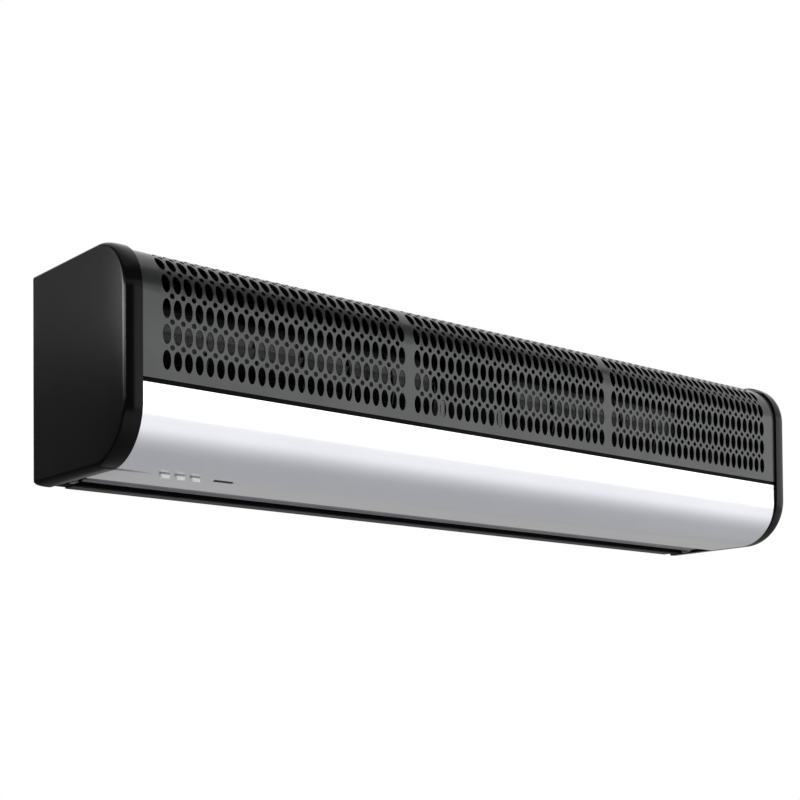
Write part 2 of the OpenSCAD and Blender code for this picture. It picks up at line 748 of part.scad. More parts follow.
// Control tray with the board, its parts and the terminal block
tray_start = partition_place + plate_thickness;
tray_length = 100;
tray_end = tray_start + tray_length;
tray_setback = 24;
tray_depth = 76;
tray_front = partition_front + tray_setback;
tray_back = tray_front + tray_depth;
tray_wall = 22;
board_gap = 8;
board_thickness = 1.6;
board_inset = 5;
board_z = shelf_height + sheet + board_gap;
board_top = board_z + board_thickness;
pillar_diameter = 6;
pillar_in = 6;
board_x0 = tray_start + board_inset + sheet;
board_x1 = tray_end - board_inset - sheet;
board_y0 = tray_front + board_inset;
board_y1 = tray_back - board_inset;

module control_tray() color("#8f9398") difference() {
    block([tray_start, tray_front, shelf_height], [tray_end, tray_back, shelf_height + tray_wall]);
    block([tray_start + sheet, tray_front + sheet, shelf_height + sheet],
        [tray_end - sheet, tray_back - sheet, shelf_height + tray_wall + cut]);
}
pillar_places = [for (x = [board_x0 + pillar_in, board_x1 - pillar_in])
    for (y = [board_y0 + pillar_in, board_y1 - pillar_in]) [x, y, shelf_height + sheet]];
module board_pillars() color("#d8d9da") for (p = pillar_places) translate(p) {
    cylinder(h = board_gap, d = pillar_diameter);
    cylinder(h = board_gap + board_thickness + sheet, d = screw_diameter);
}
module control_board() color("#1f5a3a") difference() {
    block([board_x0, board_y0, board_z], [board_x1, board_y1, board_top]);
    for (p = pillar_places) translate([0, 0, board_gap - cut]) translate(p)
        cylinder(h = board_thickness + 2 * cut, d = screw_diameter);
}
relay = [19, 15, 15];
relay_gap = 3;
module board_relays() color("#2556a0")
    translate([board_x0 + 2 * pillar_in, board_y1 - pillar_in - relay[1], board_top])
        for (i = [0, 1, 2]) translate([i * (relay[0] + relay_gap), 0, 0]) cube(relay);
capacitor = [38, 18, 30];
module run_capacitor() color("#dcdcd8")
    translate([board_x0 + 2 * pillar_in + sheet, board_y0 + 2 * pillar_in, board_top]) cube(capacitor);
terminal = [12, 30, 14];
module terminal_block() color("#e4e4e0") difference() {
    translate([board_x1 - 2 * pillar_in - terminal[0], board_y0 + 2 * pillar_in, board_top]) cube(terminal);
    for (i = [0:3]) translate([board_x1 - 2 * pillar_in - terminal[0] / 2,
        board_y0 + 2 * pillar_in + terminal[1] * (i + 1 / 2) / 4, board_top + terminal[2] / 2])
            cylinder(h = terminal[2], d = screw_diameter);
}

// Push buttons, their frame, their board and the remote control's receiver
button_flange = 1;
window_proud = 0.5;
stem_diameter = 4;
switch_body = 6;
switch_height = 4;
plunger_diameter = 3.4;
plunger_height = 1;
board_level = 14;
stem_top = board_level - switch_height - plunger_height - button_travel - running;
frame_margin = 4;
frame_wall = 1.6;
frame_x0 = first_button - button_width / 2 - frame_margin - frame_wall;
frame_x1 = window_place + window_width / 2 + frame_margin + frame_wall;
frame_half = button_depth / 2 + frame_margin + frame_wall;
frame_base = cover_inside(button_back + frame_half) + seat;

module push_button(i) translate([first_button + i * button_pitch, -button_back, 0]) {
    translate([0, 0, -button_proud]) linear_extrude(button_proud + control_seat)
        square([button_width, button_depth], center = true);
    translate([0, 0, control_seat]) linear_extrude(button_flange)
        square([button_width + 2 * cut, button_depth + 2 * cut], center = true);
    translate([0, 0, control_seat]) cylinder(h = stem_top - control_seat, d = stem_diameter);
}
module button_left() color("#d9dadb") push_button(0);
module button_middle() color("#d9dadb") push_button(1);
module button_right() color("#d9dadb") push_button(2);

module button_frame() color("#2b2c2f") difference() {
    block([frame_x0, -button_back - frame_half, frame_base],
        [frame_x1, -button_back + frame_half, board_level]);
    block([frame_x0 + frame_wall, -button_back - frame_half + frame_wall, 0],
        [frame_x1 - frame_wall, -button_back + frame_half - frame_wall, board_level + cut]);
}
module button_board() color("#1f5a3a")
    block([frame_x0, -button_back - frame_half, board_level],
        [frame_x1, -button_back + frame_half, board_level + board_thickness]);
module touch_switches() color("#3a3b3e") for (i = [0:2])
    translate([first_button + i * button_pitch, -button_back, board_level - switch_height]) {
        linear_extrude(switch_height) square(switch_body, center = true);
        translate([0, 0, -plunger_height]) cylinder(h = plunger_height, d = plunger_diameter);
    }
module receiver_window() color("#101114") translate([window_place, -window_back, 0]) {
    translate([0, 0, -window_proud]) linear_extrude(window_proud + control_seat)
        square([window_width, window_depth], center = true);
    translate([0, 0, control_seat]) linear_extrude(button_flange)
        square([window_width + 2 * cut, window_depth + 2 * cut], center = true);
}
eye = [7, 6, 5];
module receiver_eye() color("#1a1a1c")
    translate([window_place - eye[0] / 2, -window_back - eye[1] / 2, board_level - eye[2]]) cube(eye);

row_frame() left_end_cap();
row_frame() right_end_cap();
row_frame() left_side_plate();
row_frame() right_side_plate();
row_frame() cap_screws();
row_frame() back_casing();
row_frame() casing_screws();
row_frame() wall_plate();
row_frame() cable_gland();
row_frame() grille_front();
row_frame() grille_corner();
row_frame() grille_top();
row_frame() front_cover();
row_frame() duct_front_wall();
row_frame() slot_bead();
row_frame() scroll_sheet();
row_frame() partition_plate();
row_frame() air_vane();
row_frame() vane_pins();
row_frame() vane_bracket_left();
row_frame() vane_bracket_right();
row_frame() wheel_left();
row_frame() wheel_right();
row_frame() stub_shafts();
row_frame() motor_shaft();
row_frame() shaft_hubs();
row_frame() hub_screws();
row_frame() bearings();
row_frame() bearing_cups();
row_frame() motor_shell();
row_frame() motor_stator();
row_frame() motor_windings();
row_frame() motor_core();
row_frame() motor_rings();
row_frame() motor_bracket();
row_frame() motor_clamps();
row_frame() motor_screws();
row_frame() motor_lead();
row_frame() control_tray();
row_frame() control_board();
row_frame() board_pillars();
row_frame() board_relays();
row_frame() run_capacitor();
row_frame() terminal_block();
row_frame() button_left();
row_frame() button_middle();
row_frame() button_right();
row_frame() button_frame();
row_frame() button_board();
row_frame() touch_switches();
row_frame() receiver_window();
row_frame() receiver_eye();
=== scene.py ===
import math

import bmesh
import bpy
from mathutils import Matrix, Vector


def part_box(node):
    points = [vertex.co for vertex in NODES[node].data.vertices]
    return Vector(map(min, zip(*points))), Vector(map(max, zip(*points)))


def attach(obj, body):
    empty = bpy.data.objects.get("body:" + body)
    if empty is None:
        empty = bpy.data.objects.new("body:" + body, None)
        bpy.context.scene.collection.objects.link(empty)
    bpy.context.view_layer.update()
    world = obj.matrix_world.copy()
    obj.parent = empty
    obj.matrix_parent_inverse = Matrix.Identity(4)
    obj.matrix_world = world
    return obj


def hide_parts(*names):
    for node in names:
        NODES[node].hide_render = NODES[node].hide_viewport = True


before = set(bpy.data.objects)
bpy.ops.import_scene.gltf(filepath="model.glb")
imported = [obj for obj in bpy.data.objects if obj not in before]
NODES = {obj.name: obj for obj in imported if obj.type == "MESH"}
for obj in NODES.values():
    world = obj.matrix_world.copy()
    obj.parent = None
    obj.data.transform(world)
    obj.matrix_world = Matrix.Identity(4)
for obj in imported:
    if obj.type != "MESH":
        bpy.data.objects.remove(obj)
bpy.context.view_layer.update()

MM = 0.001
bpy.context.scene.view_settings.view_transform = "Standard"

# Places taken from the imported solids
LEFT_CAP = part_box("left_end_cap")
RIGHT_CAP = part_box("right_end_cap")
GRILLE_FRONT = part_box("grille_front")
GRILLE_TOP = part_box("grille_top")
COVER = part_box("front_cover")
LEFT, RIGHT = LEFT_CAP[0].x, RIGHT_CAP[1].x
FRONT, BOTTOM, TOP = LEFT_CAP[0].y, LEFT_CAP[0].z, LEFT_CAP[1].z
CAP_WIDTH = LEFT_CAP[1].x - LEFT_CAP[0].x
SHEET_LEFT, SHEET_RIGHT = COVER[0].x, COVER[1].x
SHEET_FRONT, SHEET_TOP = GRILLE_FRONT[0].y, GRILLE_TOP[1].z
STEP = SHEET_FRONT - FRONT

# Sizes that the solids share
SHEET = 1.2 * MM
TOP_RADIUS = 55 * MM
BOTTOM_RADIUS = 60 * MM
CAP_WALL = 3 * MM
CAP_FACE = 3.5 * MM
PATTERN_MARGIN = 47.5 * MM
COLUMNS = 25
FIELDS = 3
FIELD_GAP_SHARE = 1.8
FIRST_ROW_HEIGHT = 22.1 * MM
ROW_PITCH = 25.3 * MM
ROWS = 6

# Sizes of the visual model alone
OVAL_WIDTH = 9.5 * MM
OVAL_HEIGHT = 19.8 * MM
SMALL_HOLE = 5.5 * MM
GRILLE_EDGE = 2.5 * MM
CAP_ROUND_DEPTH = 6 * MM
CAP_ROUND_WIDTH = 16 * MM
CAP_ROUND_POWER = 2.8


# Meshes

def new_object(name, mesh, finishes, smooth_angle=35):
    """A smooth mesh object in the scene, but sharp at its open edges and past an angle."""
    obj = bpy.data.objects.new(name, mesh)
    bpy.context.scene.collection.objects.link(obj)
    for polygon in mesh.polygons:
        polygon.use_smooth = True
    mesh.set_sharp_from_angle(angle=math.radians(smooth_angle))
    uses = [0] * len(mesh.edges)
    for loop in mesh.loops:
        uses[loop.edge_index] += 1
    for edge in mesh.edges:
        if uses[edge.index] == 1:
            edge.use_edge_sharp = True
    for item in finishes:
        mesh.materials.append(item)
    return obj


def mesh_from(name, verts, faces):
    mesh = bpy.data.meshes.new(name)
    mesh.from_pydata([tuple(v) for v in verts], [], faces)
    mesh.validate()
    mesh.update()
    return mesh


def outward(mesh):
    """Turns all faces to the outside."""
    bm = bmesh.new()
    bm.from_mesh(mesh)
    bmesh.ops.recalc_face_normals(bm, faces=bm.faces)
    bm.to_mesh(mesh)
    bm.free()
    return mesh


def thicken(obj):
    """Gives a sheet its thickness, inwards from its outer face."""
    solid = obj.modifiers.new("thickness", "SOLIDIFY")
    solid.thickness = SHEET
    solid.offset = -1
    solid.use_even_offset = True
    solid.use_rim = True


def arc(cy, cz, radius, start, stop, steps):
    """Points of an arc in Y and Z, from one angle to another in degrees."""
    points = []
    for i in range(steps + 1):
        a = math.radians(start + (stop - start) * i / steps)
        points.append((cy + radius * math.cos(a), cz + radius * math.sin(a)))
    return points


class Weld:
    """Collects points and gives each place, to a micrometre, one number."""

    PER_METRE = 1e6

    def __init__(self):
        self.points = []
        self.numbers = {}

    def __call__(self, *point):
        key = tuple(round(c * self.PER_METRE) for c in point)
        if key not in self.numbers:
            self.numbers[key] = len(self.points)
            self.points.append(point)
        return self.numbers[key]


# Intake grille. It is laid out flat, with x along it and s up the sheet, and then bent.

CORNER_Y = FRONT + TOP_RADIUS
CORNER_Z = TOP - TOP_RADIUS
CORNER_RADIUS = TOP_RADIUS - STEP
GRILLE_BASE = GRILLE_FRONT[0].z + GRILLE_EDGE
FRONT_LENGTH = CORNER_Z - GRILLE_BASE
CORNER_LENGTH = CORNER_RADIUS * math.pi / 2
GRILLE_LENGTH = FRONT_LENGTH + CORNER_LENGTH + GRILLE_TOP[1].y - CORNER_Y
PATTERN_LENGTH = RIGHT - LEFT - 2 * PATTERN_MARGIN
COLUMN_PITCH = PATTERN_LENGTH / (FIELDS * (COLUMNS - 1) + (FIELDS - 1) * FIELD_GAP_SHARE)
FIELD_PITCH = (COLUMNS - 1 + FIELD_GAP_SHARE) * COLUMN_PITCH
FIRST_ROW = FIRST_ROW_HEIGHT - GRILLE_EDGE
HALF_X, HALF_S = COLUMN_PITCH / 2, ROW_PITCH / 2
HOLE_RADIUS = SMALL_HOLE / 2
SIDE_STEPS, HOLE_STEPS, REAR_STEPS = 3, 4, 3
SAME_PLACE_DIGITS = 7


def fold(x, s):
    """Place on the grille's outer face at a length s up the bent sheet."""
    if s <= FRONT_LENGTH:
        return x, SHEET_FRONT, GRILLE_BASE + s
    if s >= FRONT_LENGTH + CORNER_LENGTH:
        return x, CORNER_Y + s - FRONT_LENGTH - CORNER_LENGTH, SHEET_TOP
    a = math.pi - (s - FRONT_LENGTH) / CORNER_RADIUS
    return x, CORNER_Y + CORNER_RADIUS * math.cos(a), CORNER_Z + CORNER_RADIUS * math.sin(a)


def column_place(field, column):
    return LEFT + PATTERN_MARGIN + field * FIELD_PITCH + column * COLUMN_PITCH


def row_place(row):
    return FIRST_ROW + row * ROW_PITCH


def cell_quadrant(with_hole):
    """Boundary points of a quarter of a cell, from its side's middle to its end's middle."""
    r = HOLE_RADIUS
    points = [(HALF_X, (HALF_S - r) * i / SIDE_STEPS) for i in range(SIDE_STEPS + 1)]
    for i in range(1, HOLE_STEPS + 1):
        a = math.pi / 2 * i / HOLE_STEPS
        if with_hole:
            points.append((HALF_X - r * math.sin(a), HALF_S - r * math.cos(a)))
        elif i <= HOLE_STEPS / 2:
            points.append((HALF_X, HALF_S - r + r * 2 * i / HOLE_STEPS))
        else:
            points.append((HALF_X - r * (2 * i / HOLE_STEPS - 1), HALF_S))
    points.append((0.0, HALF_S))
    return points


def grille_cell(weld, field, column, row):
    """Faces round an oval hole. Between cells, quarters of the small round holes are left out."""
    x, s = column_place(field, column), row_place(row)
    rim, edge = [], []
    for side, end in ((1, 1), (-1, 1), (-1, -1), (1, -1)):
        has_column = column < COLUMNS - 1 if side > 0 else column > 0
        has_row = row < ROWS - 1 if end > 0 else row > 0
        quarter = cell_quadrant(has_column and has_row)
        places = []
        for i, (u, w) in enumerate(quarter):
            a = math.pi / 2 * i / (len(quarter) - 1)
            places.append(((x + side * u, s + end * w),
                           (x + side * OVAL_WIDTH / 2 * math.cos(a),
                            s + end * OVAL_HEIGHT / 2 * math.sin(a))))
        if side * end < 0:
            places.reverse()
        for outer, inner in places[:-1]:
            edge.append(weld(*outer))
            rim.append(weld(*inner))
    faces = []
    for i in range(len(rim)):
        j = (i + 1) % len(rim)
        faces.append((rim[i], edge[i], edge[j], rim[j]))
    return faces


def strip_faces(weld, xs, spans):
    """Faces of a plain strip, between neighbouring places x and over spans of s."""
    return [(weld(x0, s0), weld(x1, s0), weld(x1, s1), weld(x0, s1))
            for s0, s1 in spans for x0, x1 in zip(xs, xs[1:])]


def side_places(rear):
    """Places s where the cells and the strips behind them have points on their sides."""
    steps = [(HALF_S - HOLE_RADIUS) * i / SIDE_STEPS for i in range(SIDE_STEPS + 1)]
    steps += [HALF_S - HOLE_RADIUS / 2, HALF_S]
    places = [0.0] + rear
    for row in range(ROWS):
        places += [row_place(row) - w for w in steps] + [row_place(row) + w for w in steps]
    return sorted({round(s, SAME_PLACE_DIGITS) for s in places})


def plain_strips(weld):
    """Faces beside the fields, and below and behind them."""
    last, bend_end = row_place(ROWS - 1) + HALF_S, FRONT_LENGTH + CORNER_LENGTH
    rear = [last + (bend_end - last) * i / REAR_STEPS for i in range(REAR_STEPS + 1)] + [GRILLE_LENGTH]
    beside = side_places(rear)
    gaps = [(SHEET_LEFT, column_place(0, 0) - HALF_X)]
    for field in range(FIELDS):
        end = column_place(field, COLUMNS - 1) + HALF_X
        next_start = end + FIELD_PITCH - COLUMNS * COLUMN_PITCH
        gaps.append((end, next_start if field < FIELDS - 1 else SHEET_RIGHT))
    faces = []
    for gap in gaps:
        faces += strip_faces(weld, gap, list(zip(beside, beside[1:])))
    spans = [(0.0, FIRST_ROW - HALF_S)] + list(zip(rear, rear[1:]))
    r = HOLE_RADIUS
    for field in range(FIELDS):
        for column in range(COLUMNS):
            x = column_place(field, column)
            low, high = x - HALF_X, x + HALF_X
            xs = [low, low + r / 2, low + r, x, high - r, high - r / 2, high]
            faces += strip_faces(weld, xs, spans)
    return faces


def intake_grille(material):
    weld = Weld()
    faces = []
    for field in range(FIELDS):
        for column in range(COLUMNS):
            for row in range(ROWS):
                faces += grille_cell(weld, field, column, row)
    faces += plain_strips(weld)
    mesh = mesh_from("intake_grille", [fold(x, s) for x, s in weld.points], faces)
    obj = new_object("intake_grille", mesh, [material], smooth_angle=30)
    thicken(obj)
    return obj


# Front cover

COVER_RADIUS = BOTTOM_RADIUS - STEP
COVER_CENTRE = FRONT + BOTTOM_RADIUS
COVER_BASE, COVER_TOP = COVER[0].z, COVER[1].z
COVER_REAR = COVER[1].y
COVER_LIP = 1 * MM
FLAT_STEPS = 4
CURVE_STEPS = 60
COVER_STRIPS = 24
CONTROL_GAP = 0.3 * MM
CONTROL_FLANGE = 1 * MM
BUTTONS = ["button_left", "button_middle", "button_right"]


def opening(node, gap):
    """Sides, front and rear of the opening round a node's lower part."""
    low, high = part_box(node)
    grow = gap - CONTROL_FLANGE
    return low.x - grow, high.x + grow, low.y - grow, high.y + grow


def cover_profile(holes):
    """Points in Y and Z of the cover's outer face, from its top edge to its rear edge."""
    lip, curve_top = COVER_TOP - COVER_LIP, COVER_BASE + COVER_RADIUS
    profile = [(SHEET_FRONT, COVER_TOP), (SHEET_FRONT, lip)]
    for i in range(1, FLAT_STEPS + 1):
        profile.append((SHEET_FRONT, lip + (curve_top - COVER_TOP + COVER_LIP) * i / FLAT_STEPS))
    tilts = {90.0 * i / CURVE_STEPS for i in range(CURVE_STEPS)}
    for hole in holes:
        tilts |= {math.degrees(math.asin((COVER_CENTRE - y) / COVER_RADIUS)) for y in hole[2:]}
    for tilt in sorted(tilts, reverse=True):
        a = math.radians(tilt)
        profile.append((COVER_CENTRE - COVER_RADIUS * math.sin(a), curve_top - COVER_RADIUS * math.cos(a)))
    profile.append((COVER_REAR, COVER_BASE))
    return profile


def front_cover(material):
    """The polished sheet: flat front, large curve and flat underside, with its openings."""
    holes = [opening(name, CONTROL_GAP) for name in BUTTONS + ["receiver_window"]]
    profile = cover_profile(holes)
    xs = {SHEET_LEFT, SHEET_RIGHT} | {x for hole in holes for x in hole[:2]}
    xs |= {SHEET_LEFT + (SHEET_RIGHT - SHEET_LEFT) * i / COVER_STRIPS for i in range(1, COVER_STRIPS)}
    xs = sorted(xs)
    weld = Weld()
    faces = []
    for x0, x1 in zip(xs, xs[1:]):
        for (y0, z0), (y1, z1) in zip(profile, profile[1:]):
            x, y = (x0 + x1) / 2, (y0 + y1) / 2
            if any(h[0] < x < h[1] and h[2] < y < h[3] for h in holes):
                continue
            faces.append((weld(x0, y0, z0), weld(x0, y1, z1), weld(x1, y1, z1), weld(x1, y0, z0)))
    mesh = mesh_from("front_cover_skin", weld.points, faces)
    obj = new_object("front_cover_skin", mesh, [material], smooth_angle=30)
    thicken(obj)
    return obj


# End caps

CAP_ROUND_STEPS = 16
HOLLOW_STEPS = 8
OUTLINE_STEPS = 32


def cap_outline(inset, back):
    """Closed outline of an end cap, moved in from its top, front and underside."""
    points = [(-back, BOTTOM + inset), (-back, TOP - inset)]
    points += arc(FRONT + TOP_RADIUS, TOP - TOP_RADIUS, TOP_RADIUS - inset, 90, 180, OUTLINE_STEPS)
    points += arc(FRONT + BOTTOM_RADIUS, BOTTOM + BOTTOM_RADIUS, BOTTOM_RADIUS - inset, 180, 270,
                  OUTLINE_STEPS)
    return points


def cap_rings():
    """Depth and insets of the outlines, from the flat face round the rim and into the hollow."""
    full = 2 / CAP_ROUND_POWER
    rings = []
    for i in range(CAP_ROUND_STEPS + 1):
        a = math.pi / 2 * i / CAP_ROUND_STEPS
        inset = CAP_ROUND_DEPTH * (1 - math.sin(a) ** full)
        rings.append((CAP_ROUND_WIDTH * (1 - max(math.cos(a), 0) ** full), inset, 0.0))
    back = CAP_WALL / 2
    rings += [(CAP_WIDTH, 0.0, 0.0), (CAP_WIDTH, CAP_WALL, back), (CAP_ROUND_WIDTH, CAP_WALL, back)]
    for i in range(HOLLOW_STEPS - 1, -1, -1):
        a = math.pi / 2 * i / HOLLOW_STEPS
        inset = CAP_WALL + CAP_ROUND_DEPTH * (1 - math.sin(a))
        rings.append((CAP_FACE + (CAP_ROUND_WIDTH - CAP_FACE) * (1 - math.cos(a)), inset, back))
    return rings


def end_cap(name, side, material):
    """A moulded shell: flat face, wide rounding, rim, and a hollow inside."""
    rings = cap_rings()
    verts, faces = [], []
    for depth, inset, back in rings:
        x = LEFT + depth if side < 0 else RIGHT - depth
        verts += [(x, y, z) for y, z in cap_outline(inset, back)]
    n = len(cap_outline(0, 0))
    for k in range(len(rings) - 1):
        for i in range(n):
            j = (i + 1) % n
            faces.append((k * n + i, k * n + j, (k + 1) * n + j, (k + 1) * n + i))
    faces.append(tuple(range(n)))
    faces.append(tuple((len(rings) - 1) * n + i for i in range(n)))
    mesh = outward(mesh_from(name, verts, faces))
    return new_object(name, mesh, [material], smooth_angle=25)


# Push buttons and the receiver's lens

BUTTON_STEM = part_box("button_left")[1].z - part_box("receiver_window")[1].z + CONTROL_FLANGE
STEM_RADIUS = 2 * MM
STEM_SIDES = 24
KEY_PALE = 4.4 * MM
KEY_ROUND = 0.7 * MM
COLLAR_INSET = 0.25 * MM
LENS_ROUND = 0.9 * MM
BEVEL_STEPS = 3


def add_rounded_box(bm, low, high, radius, slot=0):
    """Adds a box between two corners, with rounded edges."""
    before = set(bm.faces)
    made = bmesh.ops.create_cube(bm, size=1)["verts"]
    for v in made:
        v.co = Vector([(low[i] + high[i]) / 2 + v.co[i] * (high[i] - low[i]) for i in range(3)])
    edges = list({e for v in made for e in v.link_edges})
    bmesh.ops.bevel(bm, geom=edges, offset=radius, segments=BEVEL_STEPS, profile=0.5, affect="EDGES")
    for face in bm.faces:
        if face not in before:
            face.material_index = slot


def control_object(bm, name, finishes):
    mesh = bpy.data.meshes.new(name)
    bm.to_mesh(mesh)
    bm.free()
    return new_object(name, mesh, finishes, smooth_angle=40)


def push_button(node, finish):
    """A pale key with a collar in its opening, coloured darker as painted shade of the gap round the key,
    a flange behind the cover and a stem.
    """
    low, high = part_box(node)
    x0, x1, y0, y1 = opening(node, 0)
    z_flange = high.z - BUTTON_STEM
    inset = COLLAR_INSET
    bm = bmesh.new()
    add_rounded_box(bm, (x0, y0, low.z), (x1, y1, low.z + KEY_PALE), KEY_ROUND, 0)
    # Slot 1 gives the collar and the flange their darker colour, which is painted shade of the gap round
    # the key.
    add_rounded_box(bm, (x0 + inset, y0 + inset, low.z + KEY_PALE - KEY_ROUND),
                    (x1 - inset, y1 - inset, z_flange), inset, 1)
    add_rounded_box(bm, (low.x, low.y, z_flange), (high.x, high.y, z_flange + CONTROL_FLANGE), inset, 1)
    stem = bmesh.ops.create_cone(bm, cap_ends=True, segments=STEM_SIDES, radius1=STEM_RADIUS,
                                 radius2=STEM_RADIUS, depth=high.z - z_flange)["verts"]
    middle = ((low.x + high.x) / 2, (low.y + high.y) / 2, (high.z + z_flange) / 2)
    bmesh.ops.translate(bm, verts=stem, vec=middle)
    return control_object(bm, node + "_key", [finish["button"], finish["painted_shade_collar"]])


def receiver_lens(finish):
    """A dark lens with round corners in its opening, and its flange behind the cover."""
    low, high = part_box("receiver_window")
    x0, x1, y0, y1 = opening("receiver_window", 0)
    bm = bmesh.new()
    add_rounded_box(bm, (x0, y0, low.z), (x1, y1, high.z - CONTROL_FLANGE), LENS_ROUND)
    add_rounded_box(bm, (low.x, low.y, high.z - CONTROL_FLANGE), high, COLLAR_INSET)
    return control_object(bm, "receiver_lens", [finish["window"]])


# Materials

NOISE_LOW, NOISE_HIGH = 0.3, 0.7
GRAIN_DEPTH = 0.4 * MM


def node_material(name, build):
    """A node material: build(nodes, links, shader) sets and links it."""
    mat = bpy.data.materials.new(name)
    mat.use_nodes = True
    nodes, links = mat.node_tree.nodes, mat.node_tree.links
    build(nodes, links, nodes["Principled BSDF"])
    return mat


def noise(nodes, links, scale, detail=3.0, stretch=(1, 1, 1)):
    """Noise over the object's own coordinates, in metres."""
    coordinates = nodes.new("ShaderNodeTexCoord")
    mapping = nodes.new("ShaderNodeMapping")
    mapping.inputs["Scale"].default_value = stretch
    texture = nodes.new("ShaderNodeTexNoise")
    texture.inputs["Scale"].default_value = scale
    texture.inputs["Detail"].default_value = detail
    links.new(coordinates.outputs["Object"], mapping.inputs["Vector"])
    links.new(mapping.outputs["Vector"], texture.inputs["Vector"])
    return texture.outputs["Fac"]


def map_range(nodes, links, value, start, stop, low=0.0, high=1.0, kind="SMOOTHSTEP"):
    """A ramp of a value, from low at start to high at stop."""
    ramp = nodes.new("ShaderNodeMapRange")
    ramp.interpolation_type = kind
    ramp.inputs["From Min"].default_value, ramp.inputs["From Max"].default_value = start, stop
    ramp.inputs["To Min"].default_value, ramp.inputs["To Max"].default_value = low, high
    links.new(value, ramp.inputs["Value"])
    return ramp.outputs["Result"]


def spread(nodes, links, value, low, high):
    """Maps the usual values of a noise to low..high."""
    return map_range(nodes, links, value, NOISE_LOW, NOISE_HIGH, low, high, "LINEAR")


def tint(nodes, links, value, first, second):
    """Mixes two colours by a noise."""
    mix = nodes.new("ShaderNodeMix")
    mix.data_type = "RGBA"
    mix.inputs["A"].default_value = (*first, 1)
    mix.inputs["B"].default_value = (*second, 1)
    links.new(value, mix.inputs["Factor"])
    return mix.outputs["Result"]


def bump(nodes, links, shader, value, strength):
    node = nodes.new("ShaderNodeBump")
    node.inputs["Strength"].default_value = strength
    node.inputs["Distance"].default_value = GRAIN_DEPTH
    links.new(value, node.inputs["Height"])
    links.new(node.outputs["Normal"], shader.inputs["Normal"])


def surface(name, first, second, rough, metallic=0.0, specular=0.5, grain=900.0, relief=0.05,
            stretch=(1, 1, 1), blotch=18.0):
    """A painted, moulded or metal finish: blotchy tone, uneven gloss and a fine grain."""
    def build(nodes, links, shader):
        shader.inputs["Metallic"].default_value = metallic
        shader.inputs["Specular IOR Level"].default_value = specular
        large = noise(nodes, links, blotch, 2.0)
        fine = noise(nodes, links, grain, 3.0, stretch)
        links.new(tint(nodes, links, spread(nodes, links, large, 0, 1), first, second),
                  shader.inputs["Base Color"])
        links.new(spread(nodes, links, fine, rough[0], rough[1]), shader.inputs["Roughness"])
        bump(nodes, links, shader, fine, relief)
    return node_material(name, build)


